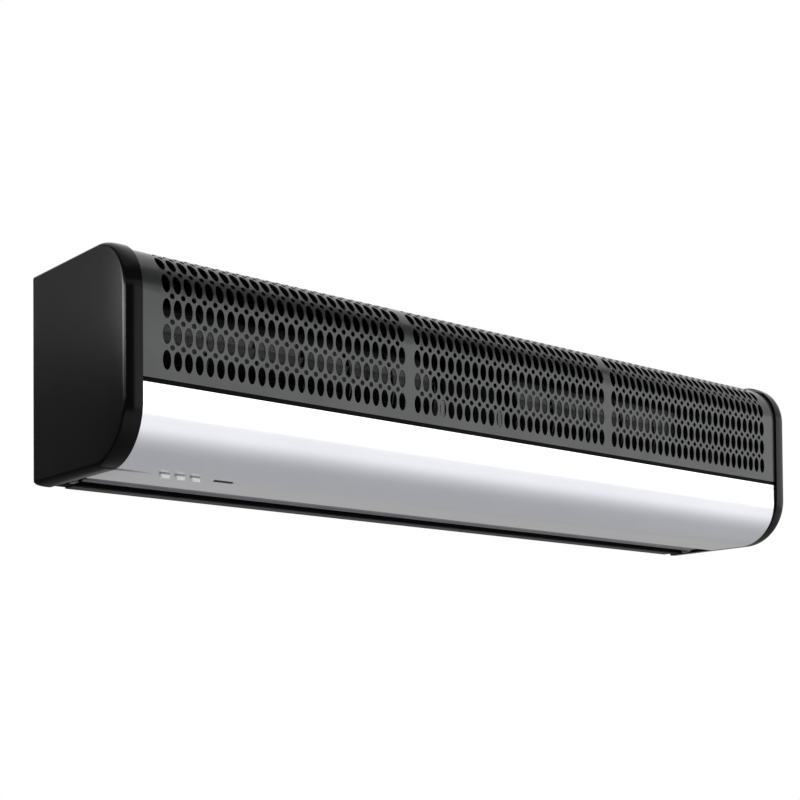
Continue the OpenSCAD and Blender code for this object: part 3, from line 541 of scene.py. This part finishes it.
def materials():
    """All finishes: two tones, the least and greatest roughness, and what differs from the rest."""
    return {
        "cap": surface("moulded_black", (0.0015, 0.0015, 0.0016), (0.0025, 0.0025, 0.0027),
                       (0.15, 0.19), specular=0.12, grain=1400, relief=0.02),
        "grille": surface("grey_paint", (0.062, 0.063, 0.064), (0.072, 0.073, 0.074), (0.18, 0.25),
                          metallic=0.65, specular=0.3, grain=1600, relief=0.05),
        "cover": surface("silver_sheet", (0.80, 0.80, 0.83), (0.84, 0.84, 0.865), (0.15, 0.19),
                         metallic=1.0, grain=700, relief=0.003, stretch=(0.05, 1, 1), blotch=6),
        "bead": surface("bead_metal", (0.20, 0.20, 0.22), (0.26, 0.26, 0.28), (0.3, 0.42),
                        metallic=0.9, grain=900, relief=0.03, stretch=(0.05, 1, 1)),
        "casing": surface("casing_paint", (0.020, 0.020, 0.022), (0.026, 0.026, 0.028), (0.45, 0.6),
                          specular=0.3, grain=1500, relief=0.15),
        "dark": surface("dark_sheet", (0.003, 0.003, 0.003), (0.005, 0.005, 0.005), (0.6, 0.75),
                        specular=0.08, grain=1200, relief=0.08),
        "black_plastic": surface("black_plastic", (0.006, 0.006, 0.006), (0.010, 0.010, 0.010),
                                 (0.4, 0.55), specular=0.2, grain=1200, relief=0.05),
        "wheel": surface("wheel_metal", (0.030, 0.030, 0.031), (0.048, 0.048, 0.049), (0.22, 0.32),
                         metallic=0.8, grain=700, relief=0.05),
        "steel": surface("plated_steel", (0.45, 0.45, 0.46), (0.55, 0.55, 0.56), (0.25, 0.4),
                         metallic=1.0, grain=800, relief=0.03),
        "galvanised": surface("galvanised_sheet", (0.32, 0.33, 0.34), (0.50, 0.51, 0.52), (0.3, 0.5),
                              metallic=0.9, grain=300, relief=0.04, blotch=60),
        "inner_steel": surface("inner_steel", (0.012, 0.012, 0.012), (0.018, 0.018, 0.018),
                               (0.5, 0.65), metallic=0.3, specular=0.2, grain=900, relief=0.05),
        "motor": surface("motor_paint", (0.003, 0.003, 0.003), (0.005, 0.005, 0.005), (0.55, 0.7),
                         specular=0.05, grain=900, relief=0.08),
        "bracket": surface("pale_bracket", (0.24, 0.24, 0.25), (0.30, 0.30, 0.31), (0.4, 0.55),
                           metallic=0.3, grain=700, relief=0.04),
        "clip": surface("slot_bracket", (0.20, 0.20, 0.21), (0.26, 0.26, 0.27), (0.35, 0.5),
                        metallic=0.4, grain=700, relief=0.04),
        "rubber": surface("black_rubber", (0.008, 0.008, 0.008), (0.014, 0.014, 0.014), (0.6, 0.75),
                          specular=0.2, grain=900, relief=0.12),
        "button": surface("button_plastic", (0.84, 0.84, 0.82), (0.90, 0.90, 0.88), (0.16, 0.24),
                          specular=0.6, grain=1800, relief=0.03),
        # The collar's darker olive grey is painted shade: it stands in for the shadow in the gap round
        # each key.
        "painted_shade_collar": surface("painted_shade_collar", (0.36, 0.36, 0.33), (0.42, 0.42, 0.39),
                                 (0.35, 0.45), specular=0.4, grain=1500, relief=0.03),
        "window": surface("window_plastic", (0.004, 0.004, 0.006), (0.007, 0.006, 0.009),
                          (0.08, 0.14), specular=0.3, grain=1500, relief=0.01),
        "board": surface("board_laminate", (0.005, 0.040, 0.018), (0.008, 0.06, 0.026), (0.3, 0.45),
                         grain=1200, relief=0.08),
        "copper": surface("winding_copper", (0.42, 0.14, 0.05), (0.55, 0.20, 0.07), (0.3, 0.45),
                          metallic=0.8, grain=1100, relief=0.3),
        "core": surface("core_steel", (0.20, 0.20, 0.21), (0.28, 0.28, 0.29), (0.4, 0.55),
                        metallic=0.8, grain=2000, relief=0.25, stretch=(6, 0.2, 0.2)),
        "brass": surface("bearing_metal", (0.45, 0.33, 0.14), (0.55, 0.42, 0.2), (0.25, 0.4),
                         metallic=1.0, grain=900, relief=0.05),
        "relay": surface("relay_case", (0.008, 0.03, 0.11), (0.01, 0.04, 0.14), (0.3, 0.4),
                         grain=1300, relief=0.04),
        "cream": surface("cream_plastic", (0.10, 0.10, 0.095), (0.14, 0.14, 0.13), (0.3, 0.45),
                         grain=1200, relief=0.06),
        "vane": surface("vane_black", (0.004, 0.004, 0.004), (0.007, 0.007, 0.007), (0.35, 0.5),
                        specular=0.2, grain=1300, relief=0.05),
    }


NODE_FINISH = {
    "cap": ["left_end_cap", "right_end_cap"],
    "grille": ["grille_front", "grille_corner", "grille_top"],
    "cover": ["front_cover"],
    "bead": ["slot_bead"],
    "casing": ["back_casing"],
    "dark": ["duct_front_wall", "scroll_sheet"],
    "galvanised": ["wall_plate"],
    "inner_steel": ["left_side_plate", "right_side_plate", "partition_plate", "control_tray"],
    "steel": ["cap_screws", "casing_screws", "stub_shafts", "motor_shaft", "hub_screws", "vane_pins",
              "motor_screws"],
    "rubber": ["cable_gland", "bearing_cups", "motor_rings", "motor_lead"],
    "wheel": ["wheel_left", "wheel_right"],
    "black_plastic": ["shaft_hubs", "button_frame", "touch_switches", "receiver_eye"],
    "motor": ["motor_shell"],
    "core": ["motor_stator", "motor_core"],
    "copper": ["motor_windings"],
    "bracket": ["motor_bracket", "motor_clamps"],
    "clip": ["vane_bracket_left", "vane_bracket_right"],
    "brass": ["bearings"],
    "board": ["control_board", "button_board"],
    "cream": ["board_pillars", "run_capacitor", "terminal_block"],
    "relay": ["board_relays"],
    "button": BUTTONS,
    "window": ["receiver_window"],
    "vane": ["air_vane"],
}


def dress_nodes(finish):
    for name, nodes in NODE_FINISH.items():
        for node in nodes:
            mesh = NODES[node].data
            mesh.materials.clear()
            mesh.materials.append(finish[name])


# Camera

CAMERA_PLACE = Vector((-1.26213901, -1.47075900, -0.41014156))
CAMERA_YAW, CAMERA_PITCH, CAMERA_ROLL = 0.70062905, 0.02551218, -0.00815795
CAMERA_LENS, CAMERA_SHIFT = 69.3194, 0.37755945
CAMERA_SENSOR = 36
CAMERA_NEAR, CAMERA_FAR = 0.05, 60


def make_camera():
    forward = Vector((math.sin(CAMERA_YAW) * math.cos(CAMERA_PITCH),
                      math.cos(CAMERA_YAW) * math.cos(CAMERA_PITCH), math.sin(CAMERA_PITCH)))
    level = Vector((math.cos(CAMERA_YAW), -math.sin(CAMERA_YAW), 0))
    upright = level.cross(forward)
    right = level * math.cos(CAMERA_ROLL) + upright * math.sin(CAMERA_ROLL)
    up = upright * math.cos(CAMERA_ROLL) - level * math.sin(CAMERA_ROLL)
    data = bpy.data.cameras.new("camera")
    data.lens, data.sensor_width, data.shift_y = CAMERA_LENS, CAMERA_SENSOR, CAMERA_SHIFT
    data.clip_start, data.clip_end = CAMERA_NEAR, CAMERA_FAR
    camera = bpy.data.objects.new("camera", data)
    turn = Matrix((right, up, -forward)).transposed().to_4x4()
    camera.matrix_world = Matrix.Translation(CAMERA_PLACE) @ turn
    bpy.context.scene.collection.objects.link(camera)
    bpy.context.scene.camera = camera


# World and lamp

SOFT_COLOUR, SOFT_LIGHT = (0.97, 0.98, 1.0, 1), 0.75
LAMP_PLACE, LAMP_TARGET = (2.3, -2.3, 0.42), (0.9, -0.1, 0)
LAMP_WIDTH, LAMP_HEIGHT, LAMP_POWER = 4.2, 1.35, 18


def combine(nodes, links, operation, first, second):
    node = nodes.new("ShaderNodeMath")
    node.operation = operation
    links.new(first, node.inputs[0])
    links.new(second, node.inputs[1])
    return node.outputs[0]


def background_rays(nodes, links):
    """1 for rays that show the background: camera, glossy and transmission rays."""
    rays = nodes.new("ShaderNodeLightPath").outputs
    direct = combine(nodes, links, "MAXIMUM", rays["Is Camera Ray"], rays["Is Glossy Ray"])
    return combine(nodes, links, "MAXIMUM", direct, rays["Is Transmission Ray"])


def make_world():
    """Soft light from all sides, seen as plain white."""
    world = bpy.data.worlds.new("studio")
    world.use_nodes = True
    nodes, links = world.node_tree.nodes, world.node_tree.links
    nodes.clear()
    output = nodes.new("ShaderNodeOutputWorld")
    mix = nodes.new("ShaderNodeMixShader")
    soft = nodes.new("ShaderNodeBackground")
    soft.inputs["Color"].default_value = SOFT_COLOUR
    soft.inputs["Strength"].default_value = SOFT_LIGHT
    white = nodes.new("ShaderNodeBackground")
    white.inputs["Color"].default_value = (1, 1, 1, 1)
    white.inputs["Strength"].default_value = 1.0
    links.new(background_rays(nodes, links), mix.inputs[0])
    links.new(soft.outputs[0], mix.inputs[1])
    links.new(white.outputs[0], mix.inputs[2])
    links.new(mix.outputs[0], output.inputs[0])
    bpy.context.scene.world = world


def make_lamp():
    """One wide lamp in front, which also gives the cover its white band."""
    data = bpy.data.lights.new("key", "AREA")
    data.shape = "RECTANGLE"
    data.size, data.size_y, data.energy = LAMP_WIDTH, LAMP_HEIGHT, LAMP_POWER
    lamp = bpy.data.objects.new("key", data)
    lamp.location = LAMP_PLACE
    direction = Vector(LAMP_TARGET) - Vector(LAMP_PLACE)
    lamp.rotation_euler = direction.to_track_quat("-Z", "Y").to_euler()
    bpy.context.scene.collection.objects.link(lamp)


# Floor

FLOOR_DROP, FLOOR_HALF = 1.1, 11.0
FLOOR_TONES = (0.53, 0.53, 0.54), (0.57, 0.57, 0.58)
FLOOR_ROUGH, FLOOR_BLOTCH = 0.7, 2.0
FLOOR_FRONT_START, FLOOR_FRONT_END = -0.22, -2.15
FLOOR_FAR_START, FLOOR_FAR_END = 6.5, 10.5
FLOOR_WHITE, FLOOR_GLOW = (0.97, 0.98, 1.0, 1), 1.08


def floor_material():
    """Pale floor that fades to the white background in front and far away."""
    def build(nodes, links, shader):
        shader.inputs["Roughness"].default_value = FLOOR_ROUGH
        tone = noise(nodes, links, FLOOR_BLOTCH)
        links.new(tint(nodes, links, tone, *FLOOR_TONES), shader.inputs["Base Color"])
        place = nodes.new("ShaderNodeTexCoord")
        parts = nodes.new("ShaderNodeSeparateXYZ")
        links.new(place.outputs["Object"], parts.inputs[0])
        reach = nodes.new("ShaderNodeVectorMath")
        reach.operation = "LENGTH"
        links.new(place.outputs["Object"], reach.inputs[0])
        front = map_range(nodes, links, parts.outputs["Y"], FLOOR_FRONT_END, FLOOR_FRONT_START, 1.0, 0.0)
        far = map_range(nodes, links, reach.outputs["Value"], FLOOR_FAR_START, FLOOR_FAR_END)
        fade = combine(nodes, links, "MAXIMUM", front, far)
        factor = combine(nodes, links, "MULTIPLY", fade, background_rays(nodes, links))
        white = nodes.new("ShaderNodeEmission")
        white.inputs["Color"].default_value = FLOOR_WHITE
        white.inputs["Strength"].default_value = FLOOR_GLOW
        mix = nodes.new("ShaderNodeMixShader")
        links.new(factor, mix.inputs[0])
        links.new(shader.outputs[0], mix.inputs[1])
        links.new(white.outputs[0], mix.inputs[2])
        links.new(mix.outputs[0], nodes["Material Output"].inputs["Surface"])
    return node_material("pale_floor", build)


def make_floor():
    half, level = FLOOR_HALF, BOTTOM - FLOOR_DROP
    mesh = mesh_from("floor", [(-half, -half, level), (half, -half, level),
                               (half, half, level), (-half, half, level)], [(0, 1, 2, 3)])
    new_object("floor", mesh, [floor_material()])


# Cards of the studio, which show in reflections alone. Directions are in degrees round the left
# end cap, from +X towards +Y, and heights are in degrees above the horizon.

CARD_CENTRE = Vector((LEFT, FRONT + TOP_RADIUS, 0))
CARD_DISTANCE = 3.0
CARD_STEPS = 8
BACK_START, SIDE_START, LOW_START, LEFT_START = 96, 122, 190, 222
REAR_FOOT, FRONT_FOOT = -25, -12
GLOW_FOOT, GLOW_TOP = 13.8, 18.5

# The flag: a small dark card behind the left end. It starts just above the cap's underside and
# reaches lower to the left than to the right.
FLAG_SETBACK = 30 * MM
FLAG_OVERLAP = 4 * MM
FLAG_LEFT, FLAG_LEFT_DROP = 230 * MM, 250 * MM
FLAG_RIGHT, FLAG_RIGHT_DROP = 150 * MM, 82 * MM
FLAG_GLOW = 0.09


def card_material(name, foot_glow, top_glow, low, high):
    """A glow that changes between two heights."""
    def build(nodes, links, shader):
        place = nodes.new("ShaderNodeTexCoord")
        parts = nodes.new("ShaderNodeSeparateXYZ")
        links.new(place.outputs["Object"], parts.inputs[0])
        glow = nodes.new("ShaderNodeEmission")
        level = map_range(nodes, links, parts.outputs["Z"], low, high, foot_glow, top_glow)
        links.new(level, glow.inputs["Strength"])
        links.new(glow.outputs[0], nodes["Material Output"].inputs["Surface"])
        nodes.remove(shader)
    return node_material(name, build)


def stand_card(name, verts, faces, material):
    """Puts up a card that the camera, diffuse rays and shadow rays pass by."""
    obj = new_object(name, mesh_from(name, verts, faces), [material])
    obj.visible_camera = obj.visible_diffuse = obj.visible_shadow = False


def card_height(degrees):
    return CARD_DISTANCE * math.tan(math.radians(degrees))


def card(name, directions, heights, glow, top_glow=None, change=(0, 1)):
    """A curved card between two directions and two heights. Its glow changes between heights."""
    start, stop = directions
    foot, top = (card_height(degrees) for degrees in heights)
    verts, faces = [], []
    for i in range(CARD_STEPS + 1):
        a = math.radians(start + (stop - start) * i / CARD_STEPS)
        x = CARD_CENTRE.x + CARD_DISTANCE * math.cos(a)
        y = CARD_CENTRE.y + CARD_DISTANCE * math.sin(a)
        verts += [(x, y, max(foot, BOTTOM - FLOOR_DROP)), (x, y, top)]
    for i in range(CARD_STEPS):
        faces.append((2 * i, 2 * i + 2, 2 * i + 3, 2 * i + 1))
    top_glow = glow if top_glow is None else top_glow
    material = card_material(name, glow, top_glow, card_height(change[0]), card_height(change[1]))
    stand_card(name, verts, faces, material)


def cap_flag():
    """The underside of the left cap's rim reflects this card instead of the bright floor."""
    y, z = FLAG_SETBACK, BOTTOM + FLAG_OVERLAP
    left, inner = LEFT - FLAG_LEFT, LEFT + CAP_WIDTH
    verts = [(left, y, z), (inner, y, z), (inner + FLAG_RIGHT, y, z - FLAG_RIGHT_DROP),
             (left, y, z - FLAG_LEFT_DROP)]
    material = card_material("cap_flag", FLAG_GLOW, FLAG_GLOW, 0.0, 1.0)
    stand_card("cap_flag", verts, [(0, 1, 2, 3)], material)


def make_cards():
    card("card_behind", directions=(0, BACK_START), heights=(REAR_FOOT, 1), glow=0.42)
    card("card_back", directions=(BACK_START, SIDE_START), heights=(REAR_FOOT, 40),
         glow=0.20, top_glow=0.44, change=(10, 17))
    card("card_side", directions=(SIDE_START, LOW_START), heights=(REAR_FOOT, GLOW_FOOT), glow=0)
    card("card_glow", directions=(127, LEFT_START), heights=(GLOW_FOOT, GLOW_TOP), glow=20)
    card("card_left", directions=(LEFT_START, 291), heights=(FRONT_FOOT, 22), glow=0.15)
    card("card_low_left", directions=(LOW_START, LEFT_START), heights=(FRONT_FOOT, GLOW_FOOT), glow=0.1)
    card("card_sky", directions=(SIDE_START, 345), heights=(29, 80),
         glow=0.14, top_glow=0.7, change=(48, 62))
    cap_flag()


make_camera()
make_world()
make_floor()
make_cards()
make_lamp()

finish = materials()
dress_nodes(finish)

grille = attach(intake_grille(finish["grille"]), "housing")
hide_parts("grille_front", "grille_corner", "grille_top")
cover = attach(front_cover(finish["cover"]), "housing")
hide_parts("front_cover")
left_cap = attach(end_cap("left_cap_shell", -1, finish["cap"]), "housing")
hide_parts("left_end_cap")
right_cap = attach(end_cap("right_cap_shell", 1, finish["cap"]), "housing")
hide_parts("right_end_cap")
for node in BUTTONS:
    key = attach(push_button(node, finish), node + "_body")
    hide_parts(node)
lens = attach(receiver_lens(finish), "housing")
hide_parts("receiver_window")
